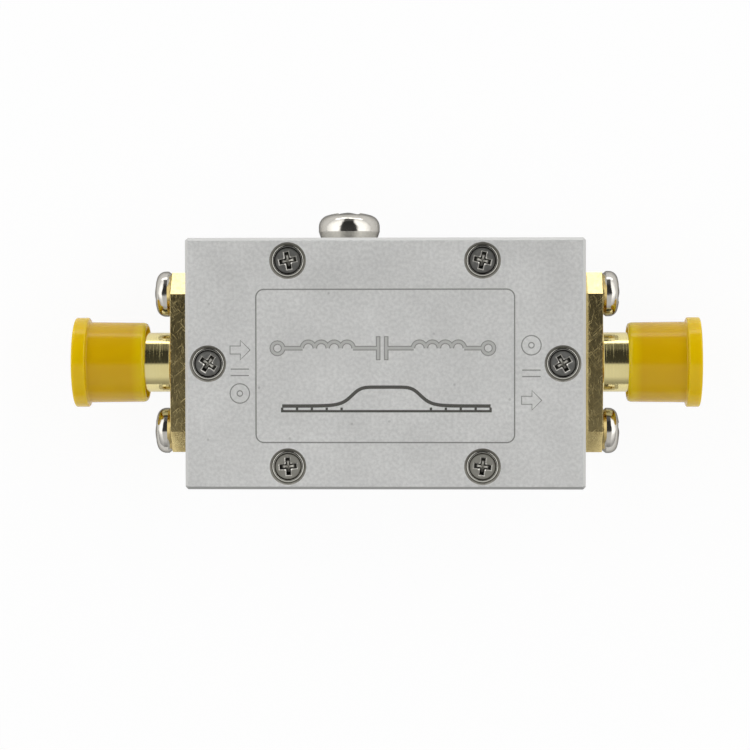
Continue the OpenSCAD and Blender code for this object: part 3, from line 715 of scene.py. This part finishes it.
# Flange with bevelled edges, drawn flat with its holes, given its thickness and welded along its seams
def flangePlate():
    f = flange
    x, y, c = f["height"] / 2, f["length"] / 2, f["corner"]
    outline = [(-x + c, -y), (x - c, -y), (x, -y + c), (x, y - c),
               (x - c, y), (-x + c, y), (-x, y - c), (-x, -y + c)]
    holes = [((0, 0), jack["neck"] - jack["overlap"])]
    holes += [((0, k * f["screwSpan"] / 2), f["screwHole"]) for k in (-1, 1)]
    turns = [2 * math.pi * k / f["holeSteps"] for k in range(f["holeSteps"])]
    loops = [outline] + [[(cx + r * math.cos(a), cy + r * math.sin(a)) for a in turns] for (cx, cy), r in holes]
    curve = bpy.data.curves.new("flange", "CURVE")
    curve.dimensions, curve.fill_mode = "2D", "BOTH"
    curve.extrude, curve.offset = f["thickness"] / 2 - f["edge"], -f["edge"]
    curve.bevel_depth, curve.bevel_resolution = f["edge"], f["edgeSteps"]
    for loop in loops:
        spline = curve.splines.new("POLY")
        spline.points.add(len(loop) - 1)
        for point, (px, py) in zip(spline.points, loop):
            point.co = (px, py, 0, 1)
        spline.use_cyclic_u = True
    shape = bmesh.new()
    shape.from_mesh(applied(curve))
    bmesh.ops.remove_doubles(shape, verts=shape.verts, dist=f["weld"])
    plate = meshOf(shape, "flange")
    plate.transform(Matrix.Translation((0, 0, f["thickness"] / 2)))
    return plate


# Lengths along the jack are from the end of the case. The blank is the barrel's radius before the thread is cut,
# and only what is clear of the neck is cut.
jack = dict(neck=2.65, neckEnd=4.45, blank=3.12, reach=9.5, bevel=0.3, mouth=2.3, mouthDepth=1.93,
            mouthBevel=(0.06, 0.08), bore=2.08, foot=0.12, overlap=0.05, clear=0.2, barrelSegments=112)
thread = dict(pitch=0.7056, depth=0.4, crest=0.07, root=0.43, start=4.55, cut=5.0, fade=9.1, end=9.6)
rowsPerPitch = 11


# Neck, barrel and mouth turned in one, with the thread cut into the barrel
def threadedBarrel(material):
    j = jack
    neck, mouth, shoulder, floor = j["neck"], j["mouth"], j["blank"] - j["bevel"], j["reach"] - j["mouthDepth"]
    rows = int((j["reach"] - j["neckEnd"]) / thread["pitch"] * rowsPerPitch)
    first, last = j["neckEnd"] + j["bevel"], j["reach"] - j["bevel"]
    barrel = [(j["blank"], first + (last - first) * k / rows) for k in range(rows + 1)]
    front = softCorners([barrel[-1] + (0,), (shoulder, j["reach"], 0.04),
                         (mouth + j["mouthBevel"][0], j["reach"], 0.02),
                         (mouth, j["reach"] - j["mouthBevel"][1], 0.02), (mouth, floor, 0), (j["bore"], floor, 0),
                         (j["bore"], 0, 0)], 4)
    back = softCorners([(neck, 0, 0), (neck, flange["thickness"], 0), (neck + j["foot"], flange["thickness"], 0),
                        (neck, flange["thickness"] + j["foot"], 0.05), (neck, j["neckEnd"], 0.04),
                        (shoulder, j["neckEnd"], 0.03), barrel[0] + (0,)], 4)
    blank = turned(back[:1] + back[2:-1] + barrel + front[1:], j["barrelSegments"])
    return applied(blank, withTree(threadTree, blank=neck + j["clear"], material=material, **thread))


def addJacks():
    milled, gold = finish["milledGold"], finish["turnedGold"]
    parts = (("_jack_flange", flangePlate(), milled, 25), ("_jack_barrel", threadedBarrel(gold), gold, 40))
    for label, side in sides.items():
        for name, mesh, material, edgeAngle in parts:
            addPiece(label + name, placed(mesh, jackPlace(side), edgeAngle), material, "filter", "jack_gold",
                     label + "_jack_shell")


addJacks()
print("jacks turned")

# The root, brim, dish and gate have a radius or reach, and the rounding of their edges
dustCap = dict(length=6.45, mouth=3.55, root=3.6, rootRound=0.18, brim=4.0, brimLength=1.25, brimSlope=0.03,
               brimBack=0.16, brimRound=0.15, end=0.8, bore=3.2, boreBevel=(0.05, 0.06), lipBreadth=0.265,
               lipLength=0.45, innerCorner=0.25, dish=0.12, dishFrom=0.9, dishTo=1.05, dishRound=0.08, gate=0.35,
               gateSlope=0.05, gateDrop=0.02, gateRound=0.03, segments=128)


def addDustCaps():
    c = dustCap
    length, brim, bore, gate = c["length"], c["brim"], c["bore"], c["gate"]
    brimStart, bottom = length - c["brimLength"], length - c["end"]
    dished, raised = length - c["dish"], length - c["gateDrop"]
    lip = [(c["mouth"] - c["lipBreadth"] * (1 - math.sin(a)), c["lipLength"] * (1 - math.cos(a)))
           for a in (math.pi / 2 * k / 8 for k in range(9))]
    outside = softCorners([lip[-1] + (0,), (c["root"], brimStart, c["rootRound"]),
                           (brim, brimStart + c["brimSlope"], c["brimBack"]), (brim, length, c["brimRound"]),
                           (brim - c["dishFrom"], length, c["dishRound"]),
                           (brim - c["dishTo"], dished, c["dishRound"]),
                           (gate + c["gateSlope"], dished, c["gateRound"]), (gate, raised, c["gateRound"]),
                           (0, raised, 0)], 7)
    inside = softCorners([(0, bottom, 0), (bore, bottom, c["innerCorner"]), (bore, c["boreBevel"][1], 0.02),
                          (bore + c["boreBevel"][0], 0, 0)], 5)
    cap = turned(outside[::-1] + lip[-2::-1] + inside[::-1], c["segments"])
    for label, side in sides.items():
        place = jackPlace(side) @ Matrix.Translation((0, 0, capEnds[side] - caseEnd - length))
        addPiece(label + "_cap_moulding", placed(cap, place), finish["capPlastic"], label + "_cap", "cap_plastic",
                 label + "_dust_cap")


addDustCaps()
print("dust caps moulded")

# Marks on the lid: a frame line, and plain signal symbols in place of lettering. All lengths are in millimetres.
# Each line lies a hair over the last, by the lift.
frameMark = dict(length=22.58, width=13.38, corner=0.69, y=-0.2, depth=0.05, breadth=0.11)
marks = dict(height=0.012, thin=0.10, outline=0.4, inside=0.22, over=0.004, bold=0.30, scale=0.7, lift=0.00001)
circuit = dict(y=1.35, terminals=(-9.4, 9.0), terminal=0.5, coils=(-6.7, 3.0), turns=4, apart=1.13, turn=0.565,
               wires=((-8.9, -7.2), (-2.8, -0.6), (0.1, 2.5), (6.9, 8.5)), bars=(-0.6, 0.1), bar=1.05)
band = dict(start=-9.0, length=18.2, floor=-4.15, top=-2.05, foot=0.45, middle=0.1, half=3.1, steepness=7,
            tick=0.32, apart=1.3, past=0.1)
port = dict(tail=0.85, tip=0.9, shaft=0.35, head=0.05, ring=0.85, dot=0.24, bar=0.8, barOffset=0.28,
            places=((-12.7, 1.2, -2.6, -0.75), (12.75, -3.2, 1.6, -0.85)))   # x, then y of arrow, rings and bars


def arcPoints(x, y, radius, start=0, stop=360, steps=16):
    return [(x + radius * math.cos(math.radians(a)), y + radius * math.sin(math.radians(a)))
            for a in (start + (stop - start) * k / steps for k in range(steps + 1))]


def framePath():
    f = frameMark
    x, y, r = f["length"] / 2 - f["corner"], f["width"] / 2 - f["corner"], f["corner"]
    path = []
    for cx, cy, start in ((x, y, 0), (-x, y, 90), (-x, -y, 180), (x, -y, 270)):
        path += arcPoints(cx, cy + f["y"], r, start, start + 90, 8)
    return path + path[:1]


# Ladder circuit between two terminals: coil, capacitor, coil. The capacitor's bars can be shortened by an inset.
def circuitPaths(inset=0.0):
    c, y = circuit, circuit["y"]
    paths = [arcPoints(x, y, c["terminal"]) for x in c["terminals"]]
    paths += [arcPoints(x + c["apart"] * k, y, c["turn"], 180, 0, 12)
              for x in c["coils"] for k in range(c["turns"])]
    paths += [[(start, y), (stop, y)] for start, stop in c["wires"]]
    return paths + [[(x, y - c["bar"] + inset), (x, y + c["bar"] - inset)] for x in c["bars"]]


# Pass band over a scale, whose ticks leave out the middle
def bandPaths():
    b, floor = band, band["floor"]
    rise, stop = b["top"] - floor - b["foot"], b["start"] + b["length"]
    curve = [(x, floor + b["foot"] + rise / (1 + abs((x - b["middle"]) / b["half"]) ** b["steepness"]))
             for x in (b["start"] + b["length"] * k / 96 for k in range(97))]
    ticks = [b["start"] + b["apart"] * k for k in range(15) if not 4 < k < 10]
    scale = [[(b["start"] - b["past"], floor), (stop + b["past"], floor)]]
    return [curve], scale + [[(x, floor), (x, floor + b["tick"])] for x in ticks]


# Outlined arrow, coaxial symbol and two bars, set along Y
def portPaths(x, arrowY, ringY, barsY):
    p = port
    arrow = [(-p["tail"], -p["shaft"]), (p["head"], -p["shaft"]), (p["head"], -p["tail"]), (p["tip"], 0),
             (p["head"], p["tail"]), (p["head"], p["shaft"]), (-p["tail"], p["shaft"]), (-p["tail"], -p["shaft"])]
    bars = [[(x - p["bar"], barsY + k), (x + p["bar"], barsY + k)] for k in (-p["barOffset"], p["barOffset"])]
    return [[(x + px, arrowY + py) for px, py in arrow], arcPoints(x, ringY, p["ring"], steps=32),
            arcPoints(x, ringY, p["dot"])] + bars


def drawn(paths, z, breadth, material):
    mesh = bpy.data.meshes.new("paths")
    points, edges = [], []
    for path in paths:
        shut = len(path) > 2 and (Vector(path[0]) - Vector(path[-1])).length < tiny
        first, body = len(points), path[:-1] if shut else path
        points += [(px, py, z + marks["lift"] * len(points)) for px, py in body]
        edges += [(first + k, first + k + 1) for k in range(len(body) - 1)]
        if shut:
            edges.append((first + len(body) - 1, first))
    mesh.from_pydata(points, edges, [])
    return applied(mesh, withTree(lineTree, breadth=breadth, height=marks["height"], material=material))


def addMarks():
    dark, grey, pale = finish["darkEtching"], finish["greyEtching"], finish["paleEtching"]
    m = marks
    curve, scale = bandPaths()
    frameLine = drawn([framePath()], lidTop - frameMark["depth"], frameMark["breadth"], grey)
    symbols = joined([drawn(circuitPaths(), lidTop, m["outline"], grey)]
                     + [drawn(portPaths(*place), lidTop, m["thin"], grey) for place in port["places"]])
    inside = drawn(circuitPaths((m["outline"] - m["inside"]) / 2), lidTop + m["over"], m["inside"], pale)
    bandMark = joined([drawn(curve, lidTop, m["bold"], dark), drawn(scale, lidTop, m["bold"] * m["scale"], dark)])
    for name, mesh, material in (("lid_frame_line", frameLine, grey), ("lid_symbols", symbols, grey),
                                 ("lid_symbols_inside", inside, pale), ("lid_band_mark", bandMark, dark)):
        addPiece(name, placed(mesh), material, "filter", "lid_metal")


addMarks()
print("lid marked")

# Levels of the room by angle from the lid's normal towards the earth screw's side, in degrees. The dark zone is a
# band along Y, and near the horizon every level is lowered. Other lengths are in metres.
studio = dict(floorHalf=0.12, floorDrop=0.00005, floorShadow=0.08, mirroredShadow=0.6,
              lowLevel=0.72, lowFrom=0.1, lowTo=0.5, brightest=2.0, zoneFrom=0.5, zoneTo=0.65, zoneTaper=0.35,
              middle=((-110, 0.36), (-90, 0.42), (-75, 0.52), (-58, 0.72), (-9, 0.72), (-4.7, 0.35), (-2.7, 0.15),
                      (-0.2, 0.05), (45, 0.035), (55, 0.13), (74, 0.15), (82, 0.8), (100, 0.8)),
              sides=((-110, 0.6), (-60, 0.8), (-30, 1.2), (-10, 1.8), (50, 1.8), (72, 1.5), (84, 1.3), (100, 1.2)),
              bankPower=0.36, bankLength=0.6, bankHeight=0.1, bankPlace=(0.0, 0.45, 0.03))
white = (1, 1, 1, 1)


def addFloor():
    half, drop = studio["floorHalf"], -studio["floorDrop"]
    mesh = bpy.data.meshes.new("floor")
    mesh.from_pydata([(-half, -half, drop), (half, -half, drop), (half, half, drop), (-half, half, drop)], [],
                     [(0, 1, 2, 3)])
    floor = addObject("floor", mesh)
    material = bpy.data.materials.new("paleFloor")
    add = emptied(material)
    path = add("ShaderNodeLightPath").outputs
    mirrored = add("ShaderNodeMath", {0: path["Is Glossy Ray"], 1: path["Is Transmission Ray"]},
                   operation="MAXIMUM")
    mirrored = add("ShaderNodeMath", {0: mirrored, 1: 1 - studio["mirroredShadow"]}, operation="MULTIPLY")
    seen = add("ShaderNodeMath", {0: path["Is Camera Ray"], 1: 1 - studio["floorShadow"], 2: mirrored},
               operation="MULTIPLY_ADD")
    bright = add("ShaderNodeEmission", {"Color": white, "Strength": 1.0})
    paper = add("ShaderNodeBsdfDiffuse", {"Color": white})
    shown = add("ShaderNodeMixShader", {0: seen, 1: paper, 2: bright})
    under = add("ShaderNodeMixShader", {0: add("ShaderNodeNewGeometry").outputs["Backfacing"], 1: shown,
                2: add("ShaderNodeBsdfTransparent")})
    add("ShaderNodeOutputMaterial", {"Surface": under})
    mesh.materials.append(material)


# A white room. To reflections it has a dark camera zone over the lid and a bright bank at the earth screw's side.
def addWorld():
    world = bpy.data.worlds.new("studio")
    bpy.context.scene.world = world
    add = emptied(world)
    path = add("ShaderNodeLightPath").outputs
    way = add("ShaderNodeTexCoord").outputs["Generated"]
    way = add("ShaderNodeSeparateXYZ", {0: way}).outputs
    angle = add("ShaderNodeMath", {0: way["Y"], 1: way["Z"]}, operation="ARCTAN2")
    around = add("ShaderNodeMapRange", {0: angle, 1: -math.pi, 2: math.pi})
    aside = add("ShaderNodeMath", {0: way["X"]}, operation="ABSOLUTE")
    ahead = add("ShaderNodeMath", {0: way["Y"]}, operation="ABSOLUTE")
    reach = add("ShaderNodeMath", {0: ahead, 1: studio["zoneTaper"], 2: aside}, operation="MULTIPLY_ADD")
    zone = add("ShaderNodeMapRange", {0: reach, 1: studio["zoneFrom"], 2: studio["zoneTo"], 3: 1.0, 4: 0.0},
               interpolation_type="SMOOTHSTEP")
    brightest = studio["brightest"]   # a ramp's colour is a share of this
    parts = []
    for levels in (studio["sides"], studio["middle"]):
        ramp = add("ShaderNodeValToRGB", {0: around})
        stops = ramp.color_ramp.elements
        stops.remove(stops[1])
        stops[0].position = (levels[0][0] + 180) / 360
        for degrees, level in levels[1:]:
            stops.new((degrees + 180) / 360)
        for stop, (degrees, level) in zip(stops, levels):
            stop.color = [level / brightest] * 3 + [1]
        parts.append(ramp)
    room = add("ShaderNodeMix", {0: zone, 6: parts[0], 7: parts[1]}, data_type="RGBA")
    low = add("ShaderNodeMapRange", {0: way["Z"], 1: studio["lowFrom"], 2: studio["lowTo"],
              3: brightest * studio["lowLevel"], 4: brightest})
    lit = add("ShaderNodeBackground", {"Color": room, "Strength": low})
    seen = add("ShaderNodeBackground", {"Color": white, "Strength": 1.0})
    shown = add("ShaderNodeMixShader", {0: path["Is Camera Ray"], 1: lit, 2: seen})
    add("ShaderNodeOutputWorld", {"Surface": shown})


def addBank():
    data = bpy.data.lights.new("lightBank", "AREA")
    data.shape, data.size, data.size_y = "RECTANGLE", studio["bankLength"], studio["bankHeight"]
    data.energy = studio["bankPower"]
    bank = addObject("lightBank", data)
    bank.location = studio["bankPlace"]
    bank.rotation_euler = (-Vector(studio["bankPlace"])).to_track_quat("-Z", "Y").to_euler()


addFloor()
addWorld()
addBank()
bpy.context.scene.view_settings.view_transform = "Standard"
print("studio lit")
